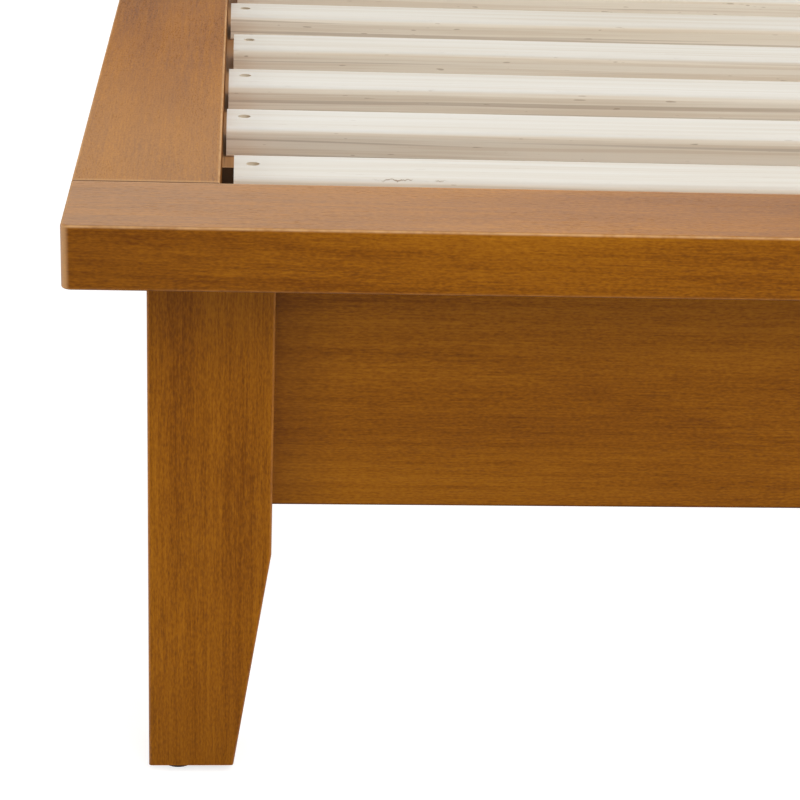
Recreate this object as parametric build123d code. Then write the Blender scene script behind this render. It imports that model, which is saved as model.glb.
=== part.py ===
from build123d import *
import os

# Slatted hardwood bed frame, in millimetres.
# Origin: on the floor, under the middle of the frame.
# +X runs across the bed, +Y runs from the foot to the head, +Z is up.
# Everything at a corner is drawn once, for the foot's left corner, and mirrored to the others.

# ---- driving dimensions ----
MATTRESS_WIDTH = 1524.0
MATTRESS_LENGTH = 2032.0
MATTRESS_CLEARANCE = 22.0
OVERALL_HEIGHT = 381.0

CAP_WIDTH = 88.0
CAP_THICKNESS = 38.0
CAP_CORNER_RADIUS = 6.0
CAP_OUTER_ARRIS = 2.0
CAP_UNDER_ARRIS = 1.0
CAP_INNER_ARRIS = 1.0
CAP_INNER_CHAMFER = 0.6
CAP_JOINT_CHAMFER = 0.5

LEG_INSET = 46.0
LEG_TOP_WIDTH = 76.0
LEG_FOOT_WIDTH = 54.0
LEG_TAPER_TOP = 155.0
LEG_ARRIS = 2.0

APRON_THICKNESS = 20.0
APRON_HEIGHT = 156.0
APRON_SETBACK = 6.0
APRON_ARRIS = 1.5

SLAT_COUNT = 17
SLAT_WIDTH = 56.0
SLAT_THICKNESS = 20.0
SLAT_TOP_ARRIS = 5.5
SLAT_UNDER_ARRIS = 2.0
SLAT_DROP = 13.0
SLAT_END_GAP = 5.0
FIRST_SLAT_GAP = 57.0
SLAT_SHIFTS = (3.0, -2.5, -2.0, 1.0, -2.0)

LEDGER_PROJECTION = 24.0
LEDGER_HEIGHT = 38.0
LEDGER_END_SETBACK = 149.0
LEDGER_ARRIS = 1.5

BLOCK_WIDTH = 60.0
BLOCK_LENGTH = 60.0
BLOCK_HEIGHT = 80.0
BLOCK_CHAMFER = 4.0

CENTRE_RAIL_WIDTH = 45.0
CENTRE_RAIL_HEIGHT = 70.0
CENTRE_LEG_WIDTH = 45.0
CENTRE_LEG_SPACING = 560.0
CENTRE_ARRIS = 2.0

HANGER_SHEET = 2.5
HANGER_REACH = 42.0
HANGER_WING = 28.0
HANGER_HEIGHT_SHARE = 0.85
HANGER_BACK_CORNER = 6.0
HANGER_CHEEK_CORNER = 10.0
HANGER_SCREW_LENGTH = 17.0
HANGER_SCREW_RADIUS = 2.0
HANGER_SCREW_HEAD_RADIUS = 4.0
HANGER_WING_SCREW_RISES = (14.0, 46.0)
HANGER_CHEEK_SCREW_RISE = 30.0
HANGER_CHEEK_SCREW_SHARE = 0.6

GLIDE_HEIGHT = 5.0
GLIDE_RADIUS = 11.0
GLIDE_ARRIS = 1.5
GLIDE_INSET_X = 18.5
GLIDE_INSET_Y = 16.0
GLIDE_NAIL_RADIUS = 1.5
GLIDE_NAIL_LENGTH = 18.0

DOWEL_RADIUS = 5.0
DOWEL_LENGTH = 40.0
CAP_DOWEL_RISE = 18.0
CAP_DOWEL_SPACING = 300.0
END_CAP_DOWEL_COUNT = 5
SIDE_CAP_DOWEL_COUNT = 6
LEG_TOP_DOWEL_INSET_X = 26.0
LEG_TOP_DOWEL_INSET_Y = 13.0
CORNER_DOWEL_INSETS = (22.0, 66.0)
APRON_DOWEL_RISES = (38.0, 118.0)

BOLT_RADIUS = 4.0
BOLT_HOLE_RADIUS = 4.5
BOLT_GRIP_IN_INSERT = 18.0
BOLT_HEAD_RADIUS = 8.5
BOLT_HEAD_HEIGHT = 4.0
BOLT_HEAD_ARRIS = 1.2
BOLT_SOCKET_WIDTH = 5.0
BOLT_SOCKET_DEPTH = 3.0
BOLT_DROPS = (13.0, 47.0)
BOLT_INSET_X = 31.0
WASHER_RADIUS = 10.0
WASHER_THICKNESS = 1.5
INSERT_RADIUS = 6.0
INSERT_LENGTH = 20.0
LEG_STUD_LENGTH = 80.0

SLAT_SCREW_INSET = 12.0
SLAT_SCREW_OFFSET = 4.0
SLAT_SCREW_RADIUS = 2.0
SLAT_SCREW_LENGTH = 30.0
SLAT_BORE_RADIUS = 4.25
SLAT_BORE_DEPTH = 5.0
SLAT_SCREW_HEAD_RADIUS = 4.0

SCREW_RADIUS = 2.5
SCREW_HEAD_RADIUS = 5.0
SCREW_BITE = 15.0
LEDGER_SCREW_COUNT = 8
LEDGER_SCREW_SINK = 8.0
LEDGER_SCREW_RISE = 10.0
LEDGER_SCREW_MARGIN = 40.0
BLOCK_SCREW_SINK = 10.0
BLOCK_SCREW_DROP = 30.0
BLOCK_SCREW_INSETS = (15.0, 45.0)
SCREW_TIP_SHARE = 0.2

NEAR = 1.0
STEEP = 0.7

# ---- worked-out sizes ----
OPENING_WIDTH = MATTRESS_WIDTH + MATTRESS_CLEARANCE
OPENING_LENGTH = MATTRESS_LENGTH + MATTRESS_CLEARANCE
HALF_WIDTH = OPENING_WIDTH / 2 + CAP_WIDTH
HALF_LENGTH = OPENING_LENGTH / 2 + CAP_WIDTH

CAP_TOP = OVERALL_HEIGHT
CAP_BOTTOM = CAP_TOP - CAP_THICKNESS
SLAT_TOP = CAP_TOP - SLAT_DROP
SLAT_BOTTOM = SLAT_TOP - SLAT_THICKNESS
LEDGER_TOP = SLAT_BOTTOM
APRON_BOTTOM = CAP_BOTTOM - APRON_HEIGHT

CAP_INNER_X = -HALF_WIDTH + CAP_WIDTH
CAP_INNER_Y = -HALF_LENGTH + CAP_WIDTH
LEG_OUTER_X = -HALF_WIDTH + LEG_INSET
LEG_OUTER_Y = -HALF_LENGTH + LEG_INSET
LEG_INNER_X = LEG_OUTER_X + LEG_TOP_WIDTH
LEG_INNER_Y = LEG_OUTER_Y + LEG_TOP_WIDTH
APRON_OUTER_X = LEG_OUTER_X + APRON_SETBACK
APRON_OUTER_Y = LEG_OUTER_Y + APRON_SETBACK
APRON_INNER_X = APRON_OUTER_X + APRON_THICKNESS
APRON_INNER_Y = APRON_OUTER_Y + APRON_THICKNESS
APRON_MIDDLE_X = APRON_OUTER_X + APRON_THICKNESS / 2
APRON_MIDDLE_Y = APRON_OUTER_Y + APRON_THICKNESS / 2

BLOCK_INNER_X = APRON_INNER_X + BLOCK_WIDTH
BLOCK_END_Y = LEG_INNER_Y + BLOCK_LENGTH
LEDGER_INNER_X = CAP_INNER_X + LEDGER_PROJECTION
LEDGER_END_Y = CAP_INNER_Y + LEDGER_END_SETBACK

SLAT_LENGTH = OPENING_WIDTH - 2 * SLAT_END_GAP
SLAT_FIRST_Y = CAP_INNER_Y + FIRST_SLAT_GAP + SLAT_WIDTH / 2
SLAT_PITCH = -2 * SLAT_FIRST_Y / (SLAT_COUNT - 1)

CENTRE_RAIL_BOTTOM = LEDGER_TOP - CENTRE_RAIL_HEIGHT
CENTRE_RAIL_END_Y = APRON_INNER_Y + HANGER_SHEET
CENTRE_LEG_YS = (-CENTRE_LEG_SPACING, 0.0, CENTRE_LEG_SPACING)

LEDGER_BOTTOM = LEDGER_TOP - LEDGER_HEIGHT
LEDGER_SCREW_Z = LEDGER_BOTTOM + LEDGER_SCREW_RISE
BLOCK_SCREW_Z = CAP_BOTTOM - BLOCK_SCREW_DROP
BLOCK_SCREW_YS = [LEG_INNER_Y + inset for inset in BLOCK_SCREW_INSETS]

BOLT_X = LEG_INNER_X - BOLT_INSET_X
BOLT_ZS = [CAP_BOTTOM - drop for drop in BOLT_DROPS]
CORNERS = {
    "foot_left": (-1, -1),
    "foot_right": (1, -1),
    "head_left": (-1, 1),
    "head_right": (1, 1),
}


# ---- small tools ----
def board(low, high):
    """A square-edged board between two opposite corners."""
    size = [b - a for a, b in zip(low, high)]
    middle = [(a + b) / 2 for a, b in zip(low, high)]
    return Pos(*middle) * Box(*size)


def rod(start, direction, radius, length):
    """A round bar that starts at a point and runs along a direction."""
    circle = Plane(origin=start, z_dir=direction) * Circle(radius)
    return extrude(circle, amount=length)


def mirrored(shape, side_x, side_y):
    """The foot's left corner piece, moved to the corner with these signs."""
    if side_x > 0:
        shape = mirror(shape, about=Plane.YZ)
    if side_y > 0:
        shape = mirror(shape, about=Plane.XZ)
    return shape


def at_all_corners(shapes):
    """Every shape repeated at the four corners."""
    return [mirrored(shape, *signs) for signs in CORNERS.values() for shape in shapes]


def overlaps(a, b):
    """Whether two bounding boxes share any room."""
    box_a = a.bounding_box()
    box_b = b.bounding_box()
    return all(
        low_a < high_b and low_b < high_a
        for low_a, high_a, low_b, high_b in zip(box_a.min, box_a.max, box_b.min, box_b.max)
    )


def drilled(shape, cutters):
    """The shape with a hole wherever one of the cutters passes through it."""
    for cutter in cutters:
        if overlaps(shape, cutter):
            shape = shape - cutter
    return shape


def edges_along(shape, axis, test=None):
    """The straight edges that run along an axis, and pass the test at their middle."""
    found = shape.edges().filter_by(axis)
    if test is None:
        return found
    return found.filter_by(lambda edge: test(edge.center()))


def write(node, solids):
    """One STEP file for one node, whether it is one solid or a group of them."""
    if isinstance(solids, list):
        solids = Compound(children=[solid.solid() for solid in solids])
    export_step(solids, f"parts/{node}.step")


# ---- fasteners ----
def wood_screw(point, direction, length, radius, head_radius):
    """A countersunk screw: its flat head starts at the point, and it runs along the direction."""
    cone_height = head_radius - radius
    plane = Plane(origin=point, z_dir=direction)
    head = loft([plane * Circle(head_radius), plane.offset(cone_height) * Circle(radius)])
    shank = extrude(plane * Circle(radius), amount=length - 2 * radius)
    tip_plane = plane.offset(length - 2 * radius)
    tip = loft([tip_plane * Circle(radius), tip_plane.offset(2 * radius) * Circle(radius * SCREW_TIP_SHARE)])
    return head + shank + tip


def dowel(middle, direction):
    """A plain beech dowel, centred on the joint it crosses."""
    start = Vector(*middle) - Vector(*direction) * (DOWEL_LENGTH / 2)
    return rod(start, direction, DOWEL_RADIUS, DOWEL_LENGTH)


def cap_dowel(x, y):
    """An upright dowel between a cap rail and what it lies on."""
    low = CAP_BOTTOM + CAP_DOWEL_RISE - DOWEL_LENGTH
    return rod((x, y, low), (0, 0, 1), DOWEL_RADIUS, DOWEL_LENGTH)


def apron_dowels():
    """Two dowels in each butt joint between an apron and a leg."""
    heights = [APRON_BOTTOM + rise for rise in APRON_DOWEL_RISES]
    corner = [dowel((LEG_INNER_X, APRON_MIDDLE_Y, z), (1, 0, 0)) for z in heights]
    corner += [dowel((APRON_MIDDLE_X, LEG_INNER_Y, z), (0, 1, 0)) for z in heights]
    return at_all_corners(corner)


def evenly(count, spacing):
    """That many positions, evenly spaced about zero."""
    return [spacing * (i - (count - 1) / 2) for i in range(count)]


def cap_dowels():
    """Upright dowels along the four aprons, and one in the top of each leg."""
    along_end = [cap_dowel(x, APRON_MIDDLE_Y) for x in evenly(END_CAP_DOWEL_COUNT, CAP_DOWEL_SPACING)]
    along_side = [cap_dowel(APRON_MIDDLE_X, y) for y in evenly(SIDE_CAP_DOWEL_COUNT, CAP_DOWEL_SPACING)]
    ends = along_end + [mirrored(pin, -1, 1) for pin in along_end]
    sides = along_side + [mirrored(pin, 1, -1) for pin in along_side]
    leg_top = cap_dowel(LEG_INNER_X - LEG_TOP_DOWEL_INSET_X, LEG_OUTER_Y + LEG_TOP_DOWEL_INSET_Y)
    return ends + sides + at_all_corners([leg_top])


def cap_corner_dowels():
    """Two level dowels in each butt joint between a side cap rail and an end cap rail."""
    z = (CAP_TOP + CAP_BOTTOM) / 2
    return at_all_corners([
        dowel((-HALF_WIDTH + inset, CAP_INNER_Y, z), (0, 1, 0)) for inset in CORNER_DOWEL_INSETS
    ])


def bolt_start(z):
    """The point under the bolt's washer, on the corner block's end face."""
    return Vector(BOLT_X, BLOCK_END_Y, z)


def rail_bolt(z):
    """A flat-headed M8 connector bolt with a hexagon socket."""
    seat = bolt_start(z) + Vector(0, WASHER_THICKNESS, 0)
    shank_length = WASHER_THICKNESS + BLOCK_LENGTH + BOLT_GRIP_IN_INSERT
    shank = rod(seat, (0, -1, 0), BOLT_RADIUS, shank_length)
    head = rod(seat, (0, 1, 0), BOLT_HEAD_RADIUS, BOLT_HEAD_HEIGHT)
    head = fillet(head.edges().sort_by(Axis.Y)[-1], BOLT_HEAD_ARRIS)
    socket_plane = Plane(origin=seat + Vector(0, BOLT_HEAD_HEIGHT, 0), z_dir=(0, -1, 0))
    socket = extrude(socket_plane * RegularPolygon(BOLT_SOCKET_WIDTH / 2, 6, major_radius=False),
                     amount=BOLT_SOCKET_DEPTH)
    return head + shank - socket


def rail_washer(z):
    """The washer between a bolt's head and the corner block."""
    disc = rod(bolt_start(z), (0, 1, 0), WASHER_RADIUS, WASHER_THICKNESS)
    return disc - rod(bolt_start(z), (0, 1, 0), BOLT_HOLE_RADIUS, WASHER_THICKNESS)


def leg_insert(z):
    """The threaded brass insert in the leg that the bolt screws into."""
    mouth = Vector(BOLT_X, LEG_INNER_Y, z)
    sleeve = rod(mouth, (0, -1, 0), INSERT_RADIUS, INSERT_LENGTH)
    return sleeve - rod(mouth, (0, -1, 0), BOLT_RADIUS, INSERT_LENGTH)


def slat_screw_places():
    """Where each slat's two screws stand: x, y."""
    places = []
    for x, y in slat_centres():
        reach = SLAT_LENGTH / 2 - SLAT_SCREW_INSET
        places += [(x - reach, y + SLAT_SCREW_OFFSET), (x + reach, y + SLAT_SCREW_OFFSET)]
    return places


def slat_screws():
    """Countersunk screws sunk below the slats' tops, into the ledgers and corner blocks."""
    z = SLAT_TOP - SLAT_BORE_DEPTH
    return [
        wood_screw((x, y, z), (0, 0, -1), SLAT_SCREW_LENGTH, SLAT_SCREW_RADIUS, SLAT_SCREW_HEAD_RADIUS)
        for x, y in slat_screw_places()
    ]


def slat_bores():
    """The wide part of each screw hole, open to the slat's top."""
    return [
        rod((x, y, SLAT_TOP), (0, 0, -1), SLAT_BORE_RADIUS, SLAT_BORE_DEPTH)
        for x, y in slat_screw_places()
    ]


def sunk_screw_x(face_x, sink, y, z):
    """A screw that starts in a counterbore and ends in the side apron."""
    length = face_x - sink - APRON_INNER_X + SCREW_BITE
    return wood_screw((face_x - sink, y, z), (-1, 0, 0), length, SCREW_RADIUS, SCREW_HEAD_RADIUS)


def ledger_screw_ys():
    """Even spacing along the ledger, in from its ends."""
    span = -2 * (LEDGER_END_Y + LEDGER_SCREW_MARGIN)
    return evenly(LEDGER_SCREW_COUNT, span / (LEDGER_SCREW_COUNT - 1))


def ledger_screws():
    """Screws from each ledger into its side apron."""
    left = [sunk_screw_x(LEDGER_INNER_X, LEDGER_SCREW_SINK, y, LEDGER_SCREW_Z) for y in ledger_screw_ys()]
    return left + [mirrored(screw, 1, -1) for screw in left]


def ledger_bores():
    """The counterbores that those screws are sunk in."""
    left = [
        rod((LEDGER_INNER_X, y, LEDGER_SCREW_Z), (-1, 0, 0), SCREW_HEAD_RADIUS, LEDGER_SCREW_SINK)
        for y in ledger_screw_ys()
    ]
    return left + [mirrored(bore, 1, -1) for bore in left]


def block_screws():
    """Screws from each corner block into its side apron."""
    return at_all_corners(
        [sunk_screw_x(BLOCK_INNER_X, BLOCK_SCREW_SINK, y, BLOCK_SCREW_Z) for y in BLOCK_SCREW_YS]
    )


def block_bores():
    """The counterbores that those screws are sunk in."""
    return at_all_corners([
        rod((BLOCK_INNER_X, y, BLOCK_SCREW_Z), (-1, 0, 0), SCREW_HEAD_RADIUS, BLOCK_SCREW_SINK)
        for y in BLOCK_SCREW_YS
    ])


def hanger_screw(point, direction):
    """One of the screws that hold a hanger."""
    return wood_screw(point, direction, HANGER_SCREW_LENGTH, HANGER_SCREW_RADIUS, HANGER_SCREW_HEAD_RADIUS)


def hanger_screws():
    """Screws through each hanger: four into the end apron, two into the centre rail."""
    cheek_x = CENTRE_RAIL_WIDTH / 2 + HANGER_SHEET
    cheek_y = CENTRE_RAIL_END_Y + HANGER_REACH * HANGER_CHEEK_SCREW_SHARE
    cheek_z = CENTRE_RAIL_BOTTOM + HANGER_CHEEK_SCREW_RISE
    wing_x = cheek_x + HANGER_WING / 2
    foot = []
    for side in (-1, 1):
        for rise in HANGER_WING_SCREW_RISES:
            wing_z = CENTRE_RAIL_BOTTOM + rise
            foot.append(hanger_screw((side * wing_x, CENTRE_RAIL_END_Y, wing_z), (0, -1, 0)))
        foot.append(hanger_screw((side * cheek_x, cheek_y, cheek_z), (-side, 0, 0)))
    return foot + [mirrored(screw, -1, 1) for screw in foot]


def centre_leg_bolts():
    """A hanger bolt that joins each centre leg to the centre rail."""
    low = CENTRE_RAIL_BOTTOM - LEG_STUD_LENGTH / 2
    return [rod((0, y, low), (0, 0, 1), BOLT_RADIUS, LEG_STUD_LENGTH) for y in CENTRE_LEG_YS]


# ---- frame ----
def end_cap_rail():
    """The foot's cap rail, which runs the whole width with rounded outer corners."""
    rail = board((-HALF_WIDTH, -HALF_LENGTH, CAP_BOTTOM), (HALF_WIDTH, CAP_INNER_Y, CAP_TOP))
    outer_corners = edges_along(rail, Axis.Z, lambda p: p.Y < -HALF_LENGTH + NEAR)
    rail = fillet(outer_corners, CAP_CORNER_RADIUS)
    inner_arrises = edges_along(rail, Axis.X, lambda p: p.Y > CAP_INNER_Y - NEAR)
    rail = chamfer(inner_arrises, CAP_INNER_CHAMFER)
    inner_limit = CAP_INNER_Y - CAP_INNER_CHAMFER - NEAR
    for place, arris in ((-1, CAP_OUTER_ARRIS), (0, CAP_UNDER_ARRIS)):
        rim = rail.faces().sort_by(Axis.Z)[place].edges()
        rail = fillet(rim.filter_by(lambda edge: edge.center().Y < inner_limit), arris)
    return rail


def side_cap_rail():
    """The left cap rail, which butts between the two end cap rails."""
    rail = board((-HALF_WIDTH, CAP_INNER_Y, CAP_BOTTOM), (CAP_INNER_X, -CAP_INNER_Y, CAP_TOP))
    upper = edges_along(rail, Axis.Y, lambda p: p.X < -HALF_WIDTH + NEAR and p.Z > CAP_TOP - NEAR)
    rail = fillet(upper, CAP_OUTER_ARRIS)
    lower = edges_along(rail, Axis.Y, lambda p: p.X < -HALF_WIDTH + NEAR and p.Z < CAP_BOTTOM + NEAR)
    rail = fillet(lower, CAP_UNDER_ARRIS)
    inner = edges_along(rail, Axis.Y, lambda p: p.X > CAP_INNER_X - NEAR)
    rail = fillet(inner, CAP_INNER_ARRIS)
    joint_edges = edges_along(rail, Axis.X, lambda p: p.Z > CAP_TOP - NEAR)
    return chamfer(joint_edges, CAP_JOINT_CHAMFER)


def end_apron():
    """The foot's apron board, set back behind the faces of its two legs."""
    apron = board((LEG_INNER_X, APRON_OUTER_Y, APRON_BOTTOM), (-LEG_INNER_X, APRON_INNER_Y, CAP_BOTTOM))
    lower = edges_along(apron, Axis.X, lambda p: p.Z < APRON_BOTTOM + NEAR)
    return fillet(lower, APRON_ARRIS)


def side_apron():
    """The left apron board, between the foot leg and the head leg."""
    apron = board((APRON_OUTER_X, LEG_INNER_Y, APRON_BOTTOM), (APRON_INNER_X, -LEG_INNER_Y, CAP_BOTTOM))
    lower = edges_along(apron, Axis.Y, lambda p: p.Z < APRON_BOTTOM + NEAR)
    return fillet(lower, APRON_ARRIS)


def tapered_leg():
    """A square post whose two inner faces taper in to a narrower foot."""
    outline = [
        (0, GLIDE_HEIGHT),
        (LEG_FOOT_WIDTH, GLIDE_HEIGHT),
        (LEG_TOP_WIDTH, LEG_TAPER_TOP),
        (LEG_TOP_WIDTH, CAP_BOTTOM),
        (0, CAP_BOTTOM),
    ]
    front = Polyline(*[(LEG_OUTER_X + w, LEG_OUTER_Y, z) for w, z in outline], close=True)
    side = Polyline(*[(LEG_OUTER_X, LEG_OUTER_Y + w, z) for w, z in outline], close=True)
    by_front = extrude(make_face(front), amount=LEG_TOP_WIDTH, dir=(0, 1, 0))
    by_side = extrude(make_face(side), amount=LEG_TOP_WIDTH, dir=(1, 0, 0))
    leg = by_front & by_side
    upright = [edge for edge in leg.edges() if abs(edge.tangent_at(0.5).Z) > STEEP]
    return fillet(upright, LEG_ARRIS)


def corner_block():
    """The block behind a leg that is bolted to it, and carries the end slat.

    Its outer top corner is cut away, so that it also steps under the side cap rail.
    """
    low = LEDGER_TOP - BLOCK_HEIGHT
    block = board((APRON_INNER_X, LEG_INNER_Y, low), (BLOCK_INNER_X, BLOCK_END_Y, LEDGER_TOP))
    step = board((APRON_INNER_X, LEG_INNER_Y, CAP_BOTTOM), (CAP_INNER_X, BLOCK_END_Y, LEDGER_TOP))
    inner = edges_along(block, Axis.Z, lambda p: p.X > APRON_INNER_X + NEAR and p.Y > LEG_INNER_Y + NEAR)
    return chamfer(inner, BLOCK_CHAMFER) - step


def slat_ledger():
    """The left batten that the slats lie on, rebated to fit under the side cap rail."""
    ledger = board((APRON_INNER_X, LEDGER_END_Y, LEDGER_BOTTOM), (LEDGER_INNER_X, -LEDGER_END_Y, LEDGER_TOP))
    rebate = board((APRON_INNER_X, LEDGER_END_Y, CAP_BOTTOM), (CAP_INNER_X, -LEDGER_END_Y, LEDGER_TOP))
    inner = edges_along(ledger, Axis.Y, lambda p: p.X > LEDGER_INNER_X - NEAR)
    return fillet(inner, LEDGER_ARRIS) - rebate


def centre_rail():
    """The beam under the middle of the slats, notched to pass under the end cap rails."""
    half = CENTRE_RAIL_WIDTH / 2
    rail = board((-half, CENTRE_RAIL_END_Y, CENTRE_RAIL_BOTTOM), (half, -CENTRE_RAIL_END_Y, LEDGER_TOP))
    lower = edges_along(rail, Axis.Y, lambda p: p.Z < CENTRE_RAIL_BOTTOM + NEAR)
    rail = fillet(lower, CENTRE_ARRIS)
    notch = board((-half, CENTRE_RAIL_END_Y, CAP_BOTTOM), (half, CAP_INNER_Y, LEDGER_TOP))
    return rail - notch - mirrored(notch, -1, 1)


def rail_hanger():
    """A folded steel stirrup, screwed to the end apron, that the centre rail's end drops into."""
    inner = CENTRE_RAIL_WIDTH / 2
    outer = inner + HANGER_SHEET
    wing = outer + HANGER_WING
    low = CENTRE_RAIL_BOTTOM - HANGER_SHEET
    high = CENTRE_RAIL_BOTTOM + CENTRE_RAIL_HEIGHT * HANGER_HEIGHT_SHARE
    reach_y = CENTRE_RAIL_END_Y + HANGER_REACH
    back = board((-wing, APRON_INNER_Y, low), (wing, CENTRE_RAIL_END_Y, high))
    back = fillet(edges_along(back, Axis.Y), HANGER_BACK_CORNER)
    shelf = board((-outer, APRON_INNER_Y, low), (outer, reach_y, CENTRE_RAIL_BOTTOM))
    cheek = board((-outer, APRON_INNER_Y, low), (-inner, reach_y, high))
    free_corner = edges_along(cheek, Axis.X, lambda p: p.Y > reach_y - NEAR and p.Z > high - NEAR)
    cheek = fillet(free_corner, HANGER_CHEEK_CORNER)
    return back + shelf + cheek + mirror(cheek, about=Plane.YZ)


def centre_leg(y):
    """A square leg under the centre rail."""
    half = CENTRE_LEG_WIDTH / 2
    leg = board((-half, y - half, GLIDE_HEIGHT), (half, y + half, CENTRE_RAIL_BOTTOM))
    return fillet(edges_along(leg, Axis.Z), CENTRE_ARRIS)


def glide(x, y):
    """A round plastic glide with its nail."""
    disc = rod((x, y, 0), (0, 0, 1), GLIDE_RADIUS, GLIDE_HEIGHT)
    disc = fillet(disc.edges().sort_by(Axis.Z)[0], GLIDE_ARRIS)
    return disc + rod((x, y, GLIDE_HEIGHT), (0, 0, 1), GLIDE_NAIL_RADIUS, GLIDE_NAIL_LENGTH)


def slat_centres():
    """Middle of each slat: they are evenly spaced, but lie a little to one side or the other."""
    return [
        (SLAT_SHIFTS[i % len(SLAT_SHIFTS)], SLAT_FIRST_Y + SLAT_PITCH * i)
        for i in range(SLAT_COUNT)
    ]


def slat(x, y):
    """A planed slat with well-rounded upper edges and eased lower ones."""
    low = (x - SLAT_LENGTH / 2, y - SLAT_WIDTH / 2, SLAT_BOTTOM)
    high = (x + SLAT_LENGTH / 2, y + SLAT_WIDTH / 2, SLAT_TOP)
    plank = board(low, high)
    plank = fillet(edges_along(plank, Axis.X, lambda p: p.Z > SLAT_TOP - NEAR), SLAT_TOP_ARRIS)
    return fillet(edges_along(plank, Axis.X, lambda p: p.Z < SLAT_BOTTOM + NEAR), SLAT_UNDER_ARRIS)


# ---- build ----
os.makedirs("parts", exist_ok=True)

apron_pins = apron_dowels()
cap_pins = cap_dowels()
corner_pins = cap_corner_dowels()
slat_fixings = slat_screws()
ledger_fixings = ledger_screws()
block_fixings = block_screws()
hanger_fixings = hanger_screws()
leg_studs = centre_leg_bolts()
corner_glide = glide(LEG_OUTER_X + GLIDE_INSET_X, LEG_OUTER_Y + GLIDE_INSET_Y)
centre_pads = [glide(0, y) for y in CENTRE_LEG_YS]

bolt_holes = at_all_corners(
    [rod(bolt_start(z), (0, -1, 0), BOLT_HOLE_RADIUS, BLOCK_LENGTH) for z in BOLT_ZS]
)
insert_holes = at_all_corners(
    [rod((BOLT_X, LEG_INNER_Y, z), (0, -1, 0), INSERT_RADIUS, INSERT_LENGTH) for z in BOLT_ZS]
)

foot_cap = drilled(end_cap_rail(), cap_pins + corner_pins)
write("foot_cap_rail", foot_cap)
write("head_cap_rail", mirrored(foot_cap, -1, 1))
left_cap = drilled(side_cap_rail(), cap_pins + corner_pins)
write("left_cap_rail", left_cap)
write("right_cap_rail", mirrored(left_cap, 1, -1))

foot_apron = drilled(end_apron(), apron_pins + cap_pins + hanger_fixings)
write("foot_apron", foot_apron)
write("head_apron", mirrored(foot_apron, -1, 1))
left_apron = drilled(side_apron(), apron_pins + cap_pins + ledger_fixings + block_fixings)
write("left_apron", left_apron)
write("right_apron", mirrored(left_apron, 1, -1))

leg_shape = drilled(tapered_leg(), apron_pins + cap_pins + insert_holes + [corner_glide])
for corner, signs in CORNERS.items():
    write(f"{corner}_leg", mirrored(leg_shape, *signs))
    write(f"{corner}_glide", mirrored(corner_glide, *signs))
    block = mirrored(corner_block(), *signs)
    block = drilled(block, bolt_holes + block_bores() + block_fixings + slat_fixings)
    write(f"{corner}_corner_block", block)

for side, sign in (("left", -1), ("right", 1)):
    ledger = mirrored(slat_ledger(), sign, -1)
    write(f"{side}_slat_ledger", drilled(ledger, ledger_bores() + ledger_fixings + slat_fixings))

write("centre_rail", drilled(centre_rail(), hanger_fixings + leg_studs))
foot_hanger = drilled(rail_hanger(), hanger_fixings)
write("foot_rail_hanger", foot_hanger)
write("head_rail_hanger", mirrored(foot_hanger, -1, 1))
for number, y in enumerate(CENTRE_LEG_YS, start=1):
    write(f"centre_leg_{number}", drilled(centre_leg(y), leg_studs + centre_pads))
write("centre_glides", centre_pads)

for number, (x, y) in enumerate(slat_centres(), start=1):
    write(f"slat_{number:02d}", drilled(slat(x, y), slat_bores() + slat_fixings))

write("rail_bolts", at_all_corners([rail_bolt(z) for z in BOLT_ZS]))
write("rail_bolt_washers", at_all_corners([rail_washer(z) for z in BOLT_ZS]))
write("leg_inserts", at_all_corners([leg_insert(z) for z in BOLT_ZS]))
write("apron_dowels", apron_pins)
write("cap_dowels", cap_pins)
write("cap_corner_dowels", corner_pins)
write("slat_screws", slat_fixings)
write("ledger_screws", ledger_fixings)
write("block_screws", block_fixings)
write("hanger_screws", hanger_fixings)
write("centre_leg_bolts", leg_studs)
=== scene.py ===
import math
from functools import cached_property

import bpy
from mathutils import Matrix, Vector


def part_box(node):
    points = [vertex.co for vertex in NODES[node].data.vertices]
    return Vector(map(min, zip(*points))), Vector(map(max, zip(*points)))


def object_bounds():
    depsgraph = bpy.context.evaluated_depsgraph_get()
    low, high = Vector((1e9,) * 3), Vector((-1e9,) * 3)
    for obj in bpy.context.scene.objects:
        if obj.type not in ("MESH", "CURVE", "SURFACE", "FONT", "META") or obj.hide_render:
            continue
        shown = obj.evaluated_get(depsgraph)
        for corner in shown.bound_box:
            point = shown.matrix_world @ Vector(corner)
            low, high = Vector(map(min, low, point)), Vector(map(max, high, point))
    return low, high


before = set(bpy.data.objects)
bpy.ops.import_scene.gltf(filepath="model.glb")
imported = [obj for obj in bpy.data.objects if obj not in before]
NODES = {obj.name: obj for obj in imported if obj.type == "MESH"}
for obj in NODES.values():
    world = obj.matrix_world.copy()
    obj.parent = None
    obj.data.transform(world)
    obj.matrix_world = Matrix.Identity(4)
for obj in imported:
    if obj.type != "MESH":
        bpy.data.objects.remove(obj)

CAD_LOW, CAD_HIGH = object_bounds()
MM = 0.001
AXES = "XYZ"

# ---------------------------------------------------------------- camera, angles in degrees

LENS_MM = 97.68
SENSOR_MM = 36.0
CLIP_START = 0.01
CAMERA_FROM_CORNER = Vector((0.09975, -1.16316, 0.36964))
YAW = 4.629
PITCH = 22.021
ROLL = 2.392

# ---------------------------------------------------------------- light and floor

# the sky brightens with height between these parts of a direction, and its sides glow between those
SKY_RISE = (-0.1, 0.55)
GROUND_STRENGTH = 0.02
SKY_STRENGTH = 0.4
SIDE_SPREAD = (0.4, 0.75)
SIDE_GLOW_RISE = (-0.15, 0.1)
SIDE_GLOW_LOW = 2.2
SIDE_GLOW = 0.5
BACKDROP = 1.0

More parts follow.
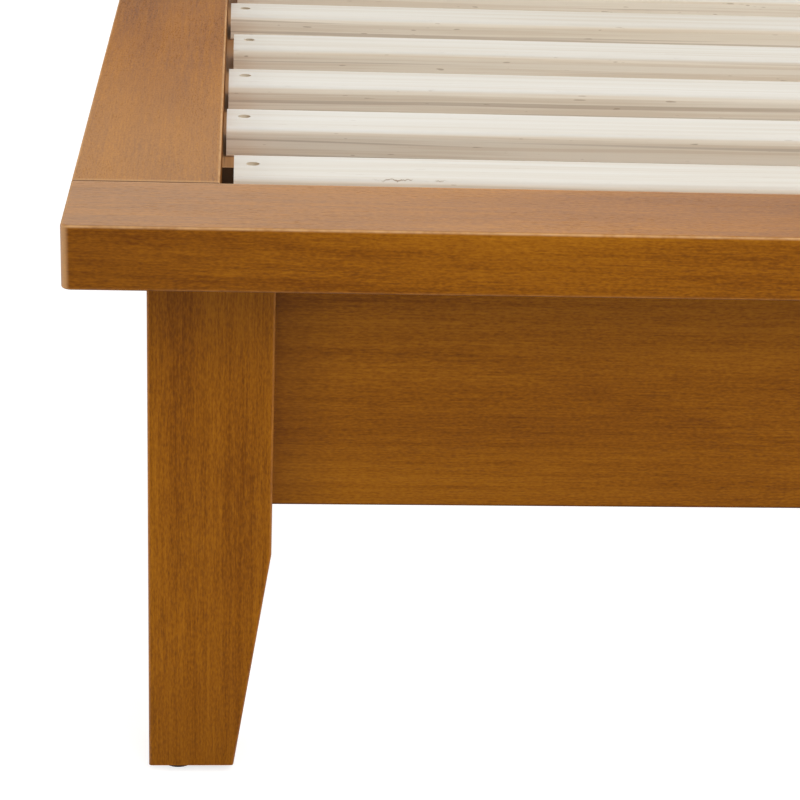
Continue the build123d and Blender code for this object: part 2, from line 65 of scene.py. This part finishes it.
# the floor's white and glow for what it lights, and then as the camera sees them
FLOOR_SIZE = 40.0
FLOOR_ROUGHNESS = 0.9
FLOOR_WHITE = 0.8
FLOOR_GLOW = 0.25
FLOOR_SEEN_WHITE = 0.5
FLOOR_SEEN_GLOW = 0.76

SOFT_WHITE = (1.0, 0.985, 0.96)
WARM_WHITE = (1.0, 0.96, 0.86)

# place, the point it faces, width, height, power, colour
SOFTBOXES = {
    "ceiling_softbox": ((0.2, -1.7, 2.8), (-0.1, -0.8, 0.3), 3.0, 3.0, 44.0, SOFT_WHITE),
    "rear_softbox": ((-1.3, 5.2, 4.0), (-0.75, -1.0, 0.38), 6.6, 3.2, 160.0, WARM_WHITE),
    "left_softbox": ((-4.2, -0.6, 1.3), (-0.8, -0.9, 0.3), 1.6, 1.6, 45.0, SOFT_WHITE),
    "front_softbox": ((1.1, -3.6, 2.4), (-0.4, -1.1, 0.2), 2.4, 1.6, 31.0, SOFT_WHITE),
}

# ---------------------------------------------------------------- wood colours, scene-linear

STAIN_DARK = (0.198, 0.057, 0.0007)
STAIN_MID = (0.335, 0.111, 0.0010)
STAIN_LIGHT = (0.475, 0.174, 0.0028)
# the pores' colour, also used for darker tone and seam lines, and as painted shade at ends, backs,
# undersides and bottoms
STAIN_PORE_AND_SHADE = (0.085, 0.022, 0.0030)
# lighter arrises and corners: partly thinly stained worn arrises, partly a painted highlight
STAIN_WORN_AND_HIGHLIGHT = (0.780, 0.470, 0.220)
# a paler tan laid on the tops near the ends as a painted sheen
STAIN_PAINTED_SHEEN = (0.760, 0.530, 0.310)
STAIN_RAMP = ((0.45, STAIN_DARK), (0.59, STAIN_MID), (0.75, STAIN_LIGHT))

SUPPORT_DARK = (0.270, 0.130, 0.045)
SUPPORT_MID = (0.400, 0.205, 0.080)
SUPPORT_LIGHT = (0.500, 0.280, 0.120)
SUPPORT_PORE = (0.130, 0.055, 0.018)
# end grain colour, partly the end grain's own dark and partly painted shade
SUPPORT_END_GRAIN_AND_SHADE = (0.030, 0.014, 0.005)
SUPPORT_RAMP = ((0.3, SUPPORT_DARK), (0.5, SUPPORT_MID), (0.7, SUPPORT_LIGHT))

RAW_DARK = (0.690, 0.630, 0.540)
RAW_MID = (0.780, 0.750, 0.692)
RAW_LIGHT = (0.828, 0.812, 0.775)
RAW_PORE = (0.300, 0.200, 0.120)
RAW_EDGE = (0.860, 0.740, 0.560)
RAW_SAWN = (0.620, 0.490, 0.350)
RAW_RAMP = ((0.3, RAW_DARK), (0.48, RAW_MID), (0.66, RAW_LIGHT))

# ---------------------------------------------------------------- wood figure

SEED_STEP = (1.7, 3.1, 0.9)
WAVER_DENSITY = (2.2, 6.0, 6.0)
SUPPORT_WARP = 6.0 * MM
RAW_WARP = 3.0 * MM

# each layer of noise: features a metre along the grain and across it, detail, roughness
STAIN_LAYERS = {
    "cloud": (2.6, 16.0, 3.0, 0.5),
    "streak": (3.5, 210.0, 4.0, 0.62),
    "fibre": (38.0, 950.0, 2.0, 0.6),
    "speckle": (330.0, 1000.0, 1.0, 0.5),
    "patch": (9.0, 45.0, 2.0, 0.5),
    "pore": (190.0, 1200.0, 1.0, 0.5),
    "long_pore": (60.0, 900.0, 1.0, 0.5),
    "wear_and_highlight": (60.0, 60.0, 3.0, 0.7),
}
SUPPORT_LAYERS = {
    "cloud": (3.0, 22.0, 2.0, 0.5),
    "streak": (2.5, 260.0, 4.0, 0.6),
    "fibre": (24.0, 1100.0, 2.0, 0.5),
}
RAW_LAYERS = {
    "cloud": (1.6, 9.0, 2.0, 0.5),
    "streak": (2.2, 150.0, 4.0, 0.62),
    "line": (2.6, 380.0, 3.0, 0.6),
    "dark": (1.3, 300.0, 1.0, 0.5),
    "speck": (75.0, 520.0, 1.0, 0.5),
    "fibre": (40.0, 1500.0, 2.0, 0.5),
}

# how much of each layer makes a wood's light and dark figure
STAIN_FIGURE = {"streak": 0.24, "cloud": 0.42, "fibre": 0.24, "speckle": 0.28}
SUPPORT_FIGURE = {"cloud": 0.35, "streak": 0.65}
RAW_FIGURE = {"streak": 0.55, "cloud": 0.45}

# the levels of noise between which a mark fades in
PORE_LEVELS = (0.56, 0.68)
LONG_PORE_LEVELS = (0.63, 0.72)
WEAR_AND_HIGHLIGHT_LEVELS = (0.3, 0.6)
FIBRE_LINE_LEVELS = (0.62, 0.75)

# the same levels of the patches that pores gather in, and the pores' strength outside and inside them
PORE_PATCHES = (0.35, 0.62, 0.35, 1.0)
LONG_PORE_PATCHES = (0.45, 0.7, 0.2, 0.8)

# raw wood's marks: colour, layer, levels, how much stronger on the sawn edges, strength everywhere
RAW_MARKS = (
    (RAW_SAWN, "line", (0.42, 0.62), 0.36, 0.05),
    (RAW_PORE, "dark", (0.60, 0.68), 0.34, 0.03),
    (RAW_PORE, "speck", (0.72, 0.78), 0.35, 0.18),
)

# how far a surface turns towards an axis, from -1 to 1, where a tint begins and where it is full
TURNED_TO = (0.5, 0.9)
TURNED_DOWN = (-0.15, -0.75)
UPRIGHT = (0.8, 0.2)
ROUND_CORNER = (0.1, 0.62)
SAWN_EDGE = (0.93, 0.45)
END_GRAIN = (0.6, 0.9)

# ---------------------------------------------------------------- finish of the stained boards, with their painted shade, sheen and highlights

PORE_STRENGTH = 0.2
LONG_PORE_STRENGTH = 0.26
# how far from the ends the painted sheen on the tops reaches
PAINTED_SHEEN_REACH = 0.42
# how far the lighter arrises reach, partly worn stain and partly painted highlight, and how they fade
# near the bottom
WEAR_AND_HIGHLIGHT_REACH = 2.0 * MM
BOTTOM_WEAR_AND_HIGHLIGHT = 0.2
BOTTOM_WEAR_AND_HIGHLIGHT_RISE = (1.5 * MM, 4.0 * MM)
# painted shade on the aprons' backs and on faces turned down
BACK_PAINTED_SHADE = 0.85
UNDERSIDE_PAINTED_SHADE = 0.7
SEAM_LIGHT = 0.5
SEAM_LIGHT_REACH = 7.0 * MM
SEAM_DARK_REACH = 3.2 * MM
# heights over which the painted shade along the bottom fades
BOTTOM_SHADE_RISE = (0.5 * MM, 2.0 * MM)

# how each kind of board is finished, with its painted shade, sheen and highlights
END_CAP = dict(warp=7.0 * MM, end_shade=0.22, end_reach=0.2, wear_and_highlight=0.95, pale=0.14, painted_corner_highlight=0.42)
SIDE_CAP = dict(wear_and_highlight=0.8, seam=0.9, tone=0.06, satin=0.5, pale=0.16)
APRON = dict(warp=2.0 * MM, end_shade=0.3, end_reach=0.05, wear_and_highlight=0.04, tone=0.16, painted_bottom_shade=0.8)
LEG = dict(warp=3.0 * MM, end_shade=0.2, end_reach=0.1, wear_and_highlight=0.1)

# how strongly each surface mirrors, and the strength and depth of its relief
STAIN_SPECULAR = 0.15
STAIN_RELIEF = (0.4, 0.12 * MM)
SUPPORT_SPECULAR = 0.3
SUPPORT_RELIEF = (0.4, 0.15 * MM)
RAW_SPECULAR = 0.2
RAW_RELIEF = (0.4, 0.18 * MM)
METAL_RELIEF = (0.25, 0.05 * MM)
COATED_RELIEF = 0.3

# ---------------------------------------------------------------- a split in the first slat's top

SPLIT_FROM_CORNER = (110.0 * MM, 3.0 * MM)
SPLIT_HALF_LENGTH = 26.0 * MM
SPLIT_WANDER = 7.0 * MM
SPLIT_WIDTH = (0.2 * MM, 0.8 * MM)
SPLIT_JAG_DENSITY = (150.0, 20.0, 20.0)
SPLIT_BREAK_DENSITY = (70.0, 5.0, 5.0)
SPLIT_BREAK_LEVELS = (0.38, 0.5)
SPLIT_STRENGTH = 0.8


class Graph:
    """The shader nodes of a material or a world, written as calls."""

    def __init__(self, owner):
        owner.use_nodes = True
        self.tree = owner.node_tree
        self.tree.nodes.clear()

    def add(self, kind, **settings):
        node = self.tree.nodes.new(kind)
        for name, value in settings.items():
            setattr(node, name, value)
        return node

    def feed(self, socket, value):
        """Link a socket to another's output, or set its constant."""
        if isinstance(value, bpy.types.NodeSocket):
            self.tree.links.new(value, socket)
        elif isinstance(value, tuple) and len(value) == 3 and socket.type == "RGBA":
            socket.default_value = (*value, 1.0)
        else:
            socket.default_value = value

    def math(self, operation, *values):
        node = self.add("ShaderNodeMath", operation=operation)
        for socket, value in zip(node.inputs, values):
            self.feed(socket, value)
        return node.outputs[0]

    def vector(self, operation, first, second):
        node = self.add("ShaderNodeVectorMath", operation=operation)
        self.feed(node.inputs[0], first)
        self.feed(node.inputs[1], second)
        return node.outputs[0]

    def parts(self, vector):
        node = self.add("ShaderNodeSeparateXYZ")
        self.feed(node.inputs[0], vector)
        return list(node.outputs)

    def join(self, x, y, z):
        node = self.add("ShaderNodeCombineXYZ")
        for socket, value in zip(node.inputs, (x, y, z)):
            self.feed(socket, value)
        return node.outputs[0]

    def span(self, value, low, high, to_low=0.0, to_high=1.0, shape="SMOOTHSTEP"):
        """value carried from low..high to to_low..to_high, and held at the ends."""
        node = self.add("ShaderNodeMapRange", interpolation_type=shape)
        for socket, number in zip(node.inputs, (value, low, high, to_low, to_high)):
            self.feed(socket, number)
        return node.outputs["Result"]

    def mix(self, factor, first, second):
        """A colour between two colours."""
        node = self.add("ShaderNodeMix", data_type="RGBA")
        self.feed(node.inputs["Factor"], factor)
        colours = [s for s in node.inputs if s.type == "RGBA"]
        self.feed(colours[0], first)
        self.feed(colours[1], second)
        return [s for s in node.outputs if s.type == "RGBA"][0]

    def unseen_or_seen(self, unseen, seen):
        """One number for the light that falls on things, and another for the camera's own view."""
        node = self.add("ShaderNodeMix")
        self.feed(node.inputs["Factor"], self.add("ShaderNodeLightPath").outputs["Is Camera Ray"])
        self.feed(node.inputs["A"], unseen)
        self.feed(node.inputs["B"], seen)
        return node.outputs["Result"]


class Shade(Graph):
    """A material, whose colour is built up by tints laid one over another."""

    def __init__(self, name):
        self.material = bpy.data.materials.new(name)
        super().__init__(self.material)
        self.bsdf = self.add("ShaderNodeBsdfPrincipled")
        output = self.add("ShaderNodeOutputMaterial")
        self.tree.links.new(self.bsdf.outputs["BSDF"], output.inputs["Surface"])
        self.colour = None

    @cached_property
    def place(self):
        return self.add("ShaderNodeTexCoord").outputs["Object"]

    @cached_property
    def normal(self):
        return self.add("ShaderNodeNewGeometry").outputs["Normal"]

    def at(self, axis):
        """Where the surface is along one axis, in metres."""
        return self.parts(self.place)[AXES.index(axis)]

    def faces(self, axis):
        """How far the surface faces along one axis, from -1 to 1."""
        return self.parts(self.normal)[AXES.index(axis)]

    def turn(self, axis):
        """How far the surface faces along one axis, either way, from 0 to 1."""
        return self.math("ABSOLUTE", self.faces(axis))

    def noise(self, vector, density, detail, roughness=0.5):
        """Noise with that many features a metre along each part of the vector."""
        node = self.add("ShaderNodeTexNoise", noise_dimensions="3D")
        self.feed(node.inputs["Vector"], self.vector("MULTIPLY", vector, density))
        node.inputs["Scale"].default_value = 1.0
        node.inputs["Detail"].default_value = detail
        node.inputs["Roughness"].default_value = roughness
        return node.outputs["Fac"]

    def grain(self, axis, seed, warp):
        """Coordinates whose first part runs along the grain, gently wavering as real fibres do."""
        x, y, z = self.parts(self.place)
        turned = self.join(*{"X": (x, y, z), "Y": (y, z, x), "Z": (z, x, y)}[axis])
        placed = self.vector("ADD", turned, [step * seed for step in SEED_STEP])
        waver = self.noise(placed, WAVER_DENSITY, 1.0)
        shift = self.math("MULTIPLY_ADD", waver, 2.0 * warp, -warp)
        return self.vector("ADD", placed, self.join(0.0, shift, shift))

    def layers(self, grain, table):
        """The table's layers of noise, by name."""
        return {name: self.noise(grain, (along, across, across), detail, roughness)
                for name, (along, across, detail, roughness) in table.items()}

    def figure(self, layers, weights, stops):
        """Start the colour from a weighted sum of layers, through a ramp of three colours."""
        total = 0.0
        for name, weight in weights.items():
            total = self.math("MULTIPLY_ADD", layers[name], weight, total)
        node = self.add("ShaderNodeValToRGB")
        elements = node.color_ramp.elements
        elements.new(stops[1][0])
        for element, (position, colour) in zip(elements, stops):
            element.position = position
            element.color = (*colour, 1.0)
        self.feed(node.inputs["Fac"], total)
        self.colour = node.outputs["Color"]

    def tint(self, colour, *amounts):
        """Lay a colour over what is there, by the product of the amounts."""
        factor = amounts[0]
        for amount in amounts[1:]:
            factor = self.math("MULTIPLY", factor, amount)
        self.colour = self.mix(factor, self.colour, colour)

    def inward(self, node, axis):
        """How far inside the node's box the surface is along one axis."""
        low, high = (corner[AXES.index(axis)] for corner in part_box(node))
        value = self.at(axis)
        return self.math("MINIMUM", self.math("SUBTRACT", value, low), self.math("SUBTRACT", high, value))

    def edge_nearness(self, node, reach):
        """1 on the arrises of the node's box, falling to 0 at that distance from them."""
        x, y, z = (self.inward(node, axis) for axis in AXES)
        smaller = self.math("MINIMUM", x, y)
        larger = self.math("MAXIMUM", x, y)
        middle = self.math("MAXIMUM", smaller, self.math("MINIMUM", larger, z))
        return self.span(middle, 0.0, reach, 1.0, 0.0)

    def end_nearness(self, node, axis, reach):
        """1 at the node's two ends along that axis, falling to 0 at that distance from them."""
        return self.span(self.inward(node, axis), 0.0, reach, 1.0, 0.0)

    def above_bottom(self, node, rise, at_bottom, higher):
        """A number that goes from one value to another between two heights above the node's bottom."""
        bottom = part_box(node)[0].z
        return self.span(self.at("Z"), bottom + rise[0], bottom + rise[1], at_bottom, higher)

    def set(self, **values):
        """Set or link the surface's inputs, named with underscores for spaces."""
        for name, value in values.items():
            self.feed(self.bsdf.inputs[name.replace("_", " ")], value)

    def bump(self, height, strength, distance):
        node = self.add("ShaderNodeBump")
        node.inputs["Strength"].default_value = strength
        node.inputs["Distance"].default_value = distance
        self.feed(node.inputs["Height"], height)
        self.tree.links.new(node.outputs["Normal"], self.bsdf.inputs["Normal"])


# ---------------------------------------------------------------- materials

def tint_pores(s, layers):
    """Short and long dark pores, gathered in patches. Returns the short pores' mask."""
    crowd = s.span(layers["patch"], *PORE_PATCHES)
    long_crowd = s.span(layers["patch"], *LONG_PORE_PATCHES)
    pore = s.math("MULTIPLY", s.span(layers["pore"], *PORE_LEVELS), crowd)
    long_pore = s.math("MULTIPLY", s.span(layers["long_pore"], *LONG_PORE_LEVELS), long_crowd)
    s.tint(STAIN_PORE_AND_SHADE, pore, PORE_STRENGTH)
    s.tint(STAIN_PORE_AND_SHADE, long_pore, LONG_PORE_STRENGTH)
    return pore


def stained(node, axis, seed, *, wear_and_highlight, warp=4.0 * MM, end_shade=0.0, end_reach=0.1, seam=0.0,
            inside=0.0, tone=0.0, satin=0.28, pale=0.0, painted_corner_highlight=0.0, painted_bottom_shade=0.0):
    """Lacquered hardwood stained to a warm amber brown, with short dark pores.

    wear lightens the arrises, partly thin stain and partly a painted highlight; warp is how far the grain
    wavers.
    end_shade is painted shade: how much darker the upright faces are at the ends, fading out over
    end_reach.
    pale is a painted sheen that lightens the top at the ends, and rounded a painted highlight on the
    upright corners.
    seam draws a light line and a dark one across the ends, and hem a line of painted shade along the
    bottom.
    inside is +1 or -1 for an apron whose +X or -X face is the back, darkened with painted shade.
    tone darkens it all, and satin is the lacquer's roughness.
    """
    s = Shade(f"stained_hardwood_{node}")
    layers = s.layers(s.grain(axis, seed, warp), STAIN_LAYERS)
    s.figure(layers, STAIN_FIGURE, STAIN_RAMP)
    pore = tint_pores(s, layers)
    # painted sheen: the tops lighter towards the ends
    if pale:
        upward = s.span(s.faces("Z"), *TURNED_TO, 0.0, pale)
        s.tint(STAIN_PAINTED_SHEEN, s.end_nearness(node, axis, PAINTED_SHEEN_REACH), upward)
    # painted shade: the upright faces darker towards the ends
    if end_shade:
        upright = s.span(s.turn("Z"), *UPRIGHT, 0.0, end_shade)
        s.tint(STAIN_PORE_AND_SHADE, s.end_nearness(node, axis, end_reach), upright)
    if tone:
        s.tint(STAIN_PORE_AND_SHADE, tone)
    # painted shade on the apron's inner back face
    if inside:
        back = s.math("MULTIPLY", s.faces("X"), inside)
        s.tint(STAIN_PORE_AND_SHADE, s.span(back, *TURNED_TO, 0.0, BACK_PAINTED_SHADE))
    # lighter arrises, partly thin stain and partly a painted highlight, less so near the bottom
    uneven = s.span(layers["wear_and_highlight"], *WEAR_AND_HIGHLIGHT_LEVELS, wear_and_highlight / 2, wear_and_highlight)
    less_below = s.above_bottom(node, BOTTOM_WEAR_AND_HIGHLIGHT_RISE, BOTTOM_WEAR_AND_HIGHLIGHT, 1.0)
    s.tint(STAIN_WORN_AND_HIGHLIGHT, s.edge_nearness(node, WEAR_AND_HIGHLIGHT_REACH), uneven, less_below)
    # painted highlight on the upright corners
    if painted_corner_highlight:
        corner = s.math("MINIMUM", s.turn("X"), s.turn("Y"))
        s.tint(STAIN_WORN_AND_HIGHLIGHT, s.span(corner, *ROUND_CORNER, 0.0, painted_corner_highlight))
    if seam:
        s.tint(STAIN_WORN_AND_HIGHLIGHT, s.end_nearness(node, axis, SEAM_LIGHT_REACH), SEAM_LIGHT * seam)
        s.tint(STAIN_PORE_AND_SHADE, s.end_nearness(node, axis, SEAM_DARK_REACH), seam)
    # painted shade on faces turned down
    s.tint(STAIN_PORE_AND_SHADE, s.span(s.faces("Z"), *TURNED_DOWN), UNDERSIDE_PAINTED_SHADE)
    # painted shade in a thin line along the bottom
    if painted_bottom_shade:
        s.tint(STAIN_PORE_AND_SHADE, s.above_bottom(node, BOTTOM_SHADE_RISE, painted_bottom_shade, 0.0))
    rough = s.math("MULTIPLY_ADD", layers["streak"], 0.12, satin)
    rough = s.math("MULTIPLY_ADD", pore, 0.15, rough)
    s.set(Base_Color=s.colour, Roughness=rough, Specular_IOR_Level=STAIN_SPECULAR)
    height = s.math("SUBTRACT", s.math("MULTIPLY", layers["fibre"], 0.4), s.math("MULTIPLY", pore, 0.8))
    s.bump(height, *STAIN_RELIEF)
    return s.material


def support(node, axis, seed):
    """Cheaper softwood with a thin brown stain, planed but not lacquered; its end grain is near black,
    partly darker end grain and partly painted shade.
    """
    s = Shade(f"stained_support_wood_{node}")
    layers = s.layers(s.grain(axis, seed, SUPPORT_WARP), SUPPORT_LAYERS)
    s.figure(layers, SUPPORT_FIGURE, SUPPORT_RAMP)
    s.tint(SUPPORT_PORE, s.span(layers["fibre"], *FIBRE_LINE_LEVELS), 0.5)
    s.tint(SUPPORT_LIGHT, s.edge_nearness(node, 1.5 * MM), 0.5)
    # near-black end grain: partly the wood's darker end grain, partly painted shade in the hollows
    s.tint(SUPPORT_END_GRAIN_AND_SHADE, s.span(s.turn(axis), *END_GRAIN, 0.0, 0.93))
    rough = s.math("MULTIPLY_ADD", layers["streak"], 0.2, 0.55)
    s.set(Base_Color=s.colour, Roughness=rough, Specular_IOR_Level=SUPPORT_SPECULAR)
    height = s.math("MULTIPLY_ADD", layers["fibre"], 0.6, s.math("MULTIPLY", layers["streak"], 0.5))
    s.bump(height, *SUPPORT_RELIEF)
    return s.material


def tint_split(s, middle):
    """A thin, broken, jagged dark split along X in a top face, about that point."""
    along, across, _ = s.parts(s.vector("SUBTRACT", s.place, middle))
    jag = s.noise(s.place, SPLIT_JAG_DENSITY, 3.0, 0.7)
    aside = s.math("MULTIPLY_ADD", jag, SPLIT_WANDER, s.math("SUBTRACT", across, SPLIT_WANDER / 2))
    thin = s.span(s.math("ABSOLUTE", aside), *SPLIT_WIDTH, 1.0, 0.0)
    near = s.span(s.math("ABSOLUTE", along), 0.6 * SPLIT_HALF_LENGTH, SPLIT_HALF_LENGTH, 1.0, 0.0)
    broken = s.span(s.noise(s.place, SPLIT_BREAK_DENSITY, 1.0), *SPLIT_BREAK_LEVELS)
    s.tint(RAW_PORE, thin, near, broken, SPLIT_STRENGTH)


def raw(name, axis="X", seed=2.0, split=None):
    """Bare pale slat wood: planed creamy faces, and sawn edges with brown-grey fibre lines.

    split is the middle of a split in the wood, if it has one.
    """
    s = Shade(name)
    layers = s.layers(s.grain(axis, seed, RAW_WARP), RAW_LAYERS)
    edge = s.span(s.turn("Z"), *SAWN_EDGE)
    s.figure(layers, RAW_FIGURE, RAW_RAMP)
    s.tint(RAW_EDGE, edge, 0.5)
    for colour, layer, levels, on_edges, everywhere in RAW_MARKS:
        strength = s.math("MULTIPLY_ADD", edge, on_edges, everywhere)
        s.tint(colour, s.span(layers[layer], *levels), strength)
    if split is not None:
        tint_split(s, split)
    rough = s.math("MULTIPLY_ADD", layers["streak"], 0.2, 0.62)
    s.set(Base_Color=s.colour, Roughness=rough, Specular_IOR_Level=RAW_SPECULAR)
    height = s.math("MULTIPLY_ADD", layers["fibre"], 0.4, s.math("MULTIPLY", layers["line"], 0.6))
    s.bump(height, *RAW_RELIEF)
    return s.material


def metal(name, colour, dark, roughness, density):
    """Plated steel or brass with faint mottling and handling scratches."""
    s = Shade(name)
    mottle = s.noise(s.place, (density, density, density), 3.0)
    scratch = s.noise(s.place, (density * 4, density * 0.4, density * 4), 2.0)
    rough = s.math("MULTIPLY_ADD", mottle, 0.2, roughness)
    s.set(Base_Color=s.mix(s.span(mottle, 0.35, 0.7), colour, dark), Roughness=rough, Metallic=1.0)
    s.bump(scratch, *METAL_RELIEF)
    return s.material


def coated(name, colour, light, roughness, density, depth):
    """Moulded plastic or powder-coated steel with a fine texture."""
    s = Shade(name)
    fine = s.noise(s.place, (density, density, density), 2.0)
    broad = s.noise(s.place, (60.0, 60.0, 60.0), 3.0)
    rough = s.math("MULTIPLY_ADD", broad, 0.18, roughness)
    s.set(Base_Color=s.mix(s.span(broad, 0.35, 0.75, 0.0, 0.6), colour, light), Roughness=rough)
    s.bump(fine, COATED_RELIEF, depth)
    return s.material


# ---------------------------------------------------------------- which node gets which

def give(material, *names):
    for name in names:
        mesh = NODES[name].data
        mesh.materials.clear()
        mesh.materials.append(material)


def dress_board(wood, node, axis, seed, **finish):
    """Give one board its own wood, with the grain along that axis; the seed is its own figure."""
    give(wood(node, axis, seed, **finish), node)


def dress_boards():
    ends = ("foot", "head")
    inside_faces = {"left": 1.0, "right": -1.0}
    seed = 1.0
    for end in ends:
        dress_board(stained, f"{end}_cap_rail", "X", seed, **END_CAP)
        dress_board(stained, f"{end}_apron", "X", seed + 1.0, **APRON)
        seed += 2.0
    for side, inside in inside_faces.items():
        dress_board(stained, f"{side}_cap_rail", "Y", seed, **SIDE_CAP)
        dress_board(stained, f"{side}_apron", "Y", seed + 1.0, inside=inside, **APRON)
        dress_board(support, f"{side}_slat_ledger", "Y", seed)
        seed += 2.0
    for end in ends:
        for side in inside_faces:
            dress_board(stained, f"{end}_{side}_leg", "Z", seed, **LEG)
            dress_board(support, f"{end}_{side}_corner_block", "Z", seed)
            seed += 1.0
    dress_board(support, "centre_rail", "Y", seed)
    for number in (1, 2, 3):
        dress_board(support, f"centre_leg_{number}", "Z", seed + number)


def dress_slats_and_dowels():
    slats = sorted(name for name in NODES if name.startswith("slat_") and name != "slat_screws")
    give(raw("raw_slat_wood"), *slats[1:])
    low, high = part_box(slats[0])
    split = (low.x + SPLIT_FROM_CORNER[0], low.y + SPLIT_FROM_CORNER[1], high.z)
    give(raw("raw_slat_wood_checked", split=split), slats[0])
    give(raw("dowel_beech", "Y", 5.0), "apron_dowels", "cap_dowels", "cap_corner_dowels")


def dress_hardware():
    give(metal("zinc_steel", (0.55, 0.54, 0.50), (0.30, 0.29, 0.26), 0.30, 700.0),
         "rail_bolts", "rail_bolt_washers", "ledger_screws", "block_screws", "hanger_screws",
         "centre_leg_bolts")
    give(metal("yellow_zinc_steel", (0.72, 0.60, 0.32), (0.42, 0.33, 0.15), 0.55, 900.0), "slat_screws")
    give(metal("insert_brass", (0.62, 0.44, 0.17), (0.36, 0.23, 0.08), 0.32, 600.0), "leg_inserts")
    give(coated("hanger_steel", (0.018, 0.018, 0.019), (0.040, 0.040, 0.042), 0.45, 2600.0, 0.05 * MM),
         "foot_rail_hanger", "head_rail_hanger")
    give(coated("glide_plastic", (0.020, 0.018, 0.017), (0.050, 0.046, 0.042), 0.42, 1800.0, 0.04 * MM),
         "foot_left_glide", "foot_right_glide", "head_left_glide", "head_right_glide", "centre_glides")


# ---------------------------------------------------------------- studio

def floor():
    """A wide matt floor, white to the camera but for a faint shadow under the object."""
    mesh = bpy.data.meshes.new("floor")
    half = FLOOR_SIZE / 2
    base = CAD_LOW.z
    corners = [(-half, -half, base), (half, -half, base), (half, half, base), (-half, half, base)]
    mesh.from_pydata(corners, [], [(0, 1, 2, 3)])
    plane = bpy.data.objects.new("floor", mesh)
    bpy.context.scene.collection.objects.link(plane)
    s = Shade("pale_floor")
    s.set(Roughness=FLOOR_ROUGHNESS, Specular_IOR_Level=0.0, Emission_Color=(1.0, 1.0, 1.0))
    s.set(Base_Color=s.unseen_or_seen(FLOOR_WHITE, FLOOR_SEEN_WHITE))
    s.set(Emission_Strength=s.unseen_or_seen(FLOOR_GLOW, FLOOR_SEEN_GLOW))
    mesh.materials.append(s.material)
    plane.visible_glossy = False


def sky():
    """White behind the object; its light is bright above, dim below, and glows from both sides."""
    world = bpy.data.worlds.new("studio")
    bpy.context.scene.world = world
    g = Graph(world)
    x, _, z = g.parts(g.add("ShaderNodeTexCoord").outputs["Generated"])
    overhead = g.span(z, *SKY_RISE, GROUND_STRENGTH, SKY_STRENGTH, "LINEAR")
    glow = g.span(z, *SIDE_GLOW_RISE, SIDE_GLOW_LOW, SIDE_GLOW, "LINEAR")
    sideways = g.span(g.math("ABSOLUTE", x), *SIDE_SPREAD, 0.0, glow, "LINEAR")
    brighter = g.math("MAXIMUM", overhead, sideways)
    background = g.add("ShaderNodeBackground")
    g.feed(background.inputs["Strength"], g.unseen_or_seen(brighter, BACKDROP))
    g.feed(g.add("ShaderNodeOutputWorld").inputs["Surface"], background.outputs["Background"])


def softboxes():
    for name, (place, target, width, height, power, colour) in SOFTBOXES.items():
        light = bpy.data.lights.new(name, "AREA")
        light.shape = "RECTANGLE"
        light.size = width
        light.size_y = height
        light.energy = power
        light.color = colour
        lamp = bpy.data.objects.new(name, light)
        bpy.context.scene.collection.objects.link(lamp)
        aim = Vector(target) - Vector(place)
        lamp.matrix_world = Matrix.Translation(place) @ aim.to_track_quat("-Z", "Y").to_matrix().to_4x4()
        lamp.visible_camera = False


def camera():
    """The view of the foot's left corner, placed from that corner's top in the whole object's box."""
    data = bpy.data.cameras.new("camera")
    data.lens = LENS_MM
    data.sensor_width = SENSOR_MM
    data.clip_start = CLIP_START
    view = bpy.data.objects.new("camera", data)
    bpy.context.scene.collection.objects.link(view)
    corner = Vector((CAD_LOW.x, CAD_LOW.y, CAD_HIGH.z))
    heading = Matrix.Rotation(-math.radians(YAW), 4, "Z")
    tilt = Matrix.Rotation(math.radians(90.0 - PITCH), 4, "X")
    bank = Matrix.Rotation(math.radians(ROLL), 4, "Z")
    view.matrix_world = Matrix.Translation(corner + CAMERA_FROM_CORNER) @ heading @ tilt @ bank
    bpy.context.scene.camera = view
    bpy.context.scene.view_settings.view_transform = "Standard"


dress_boards()
dress_slats_and_dowels()
dress_hardware()
floor()
sky()
softboxes()
camera()
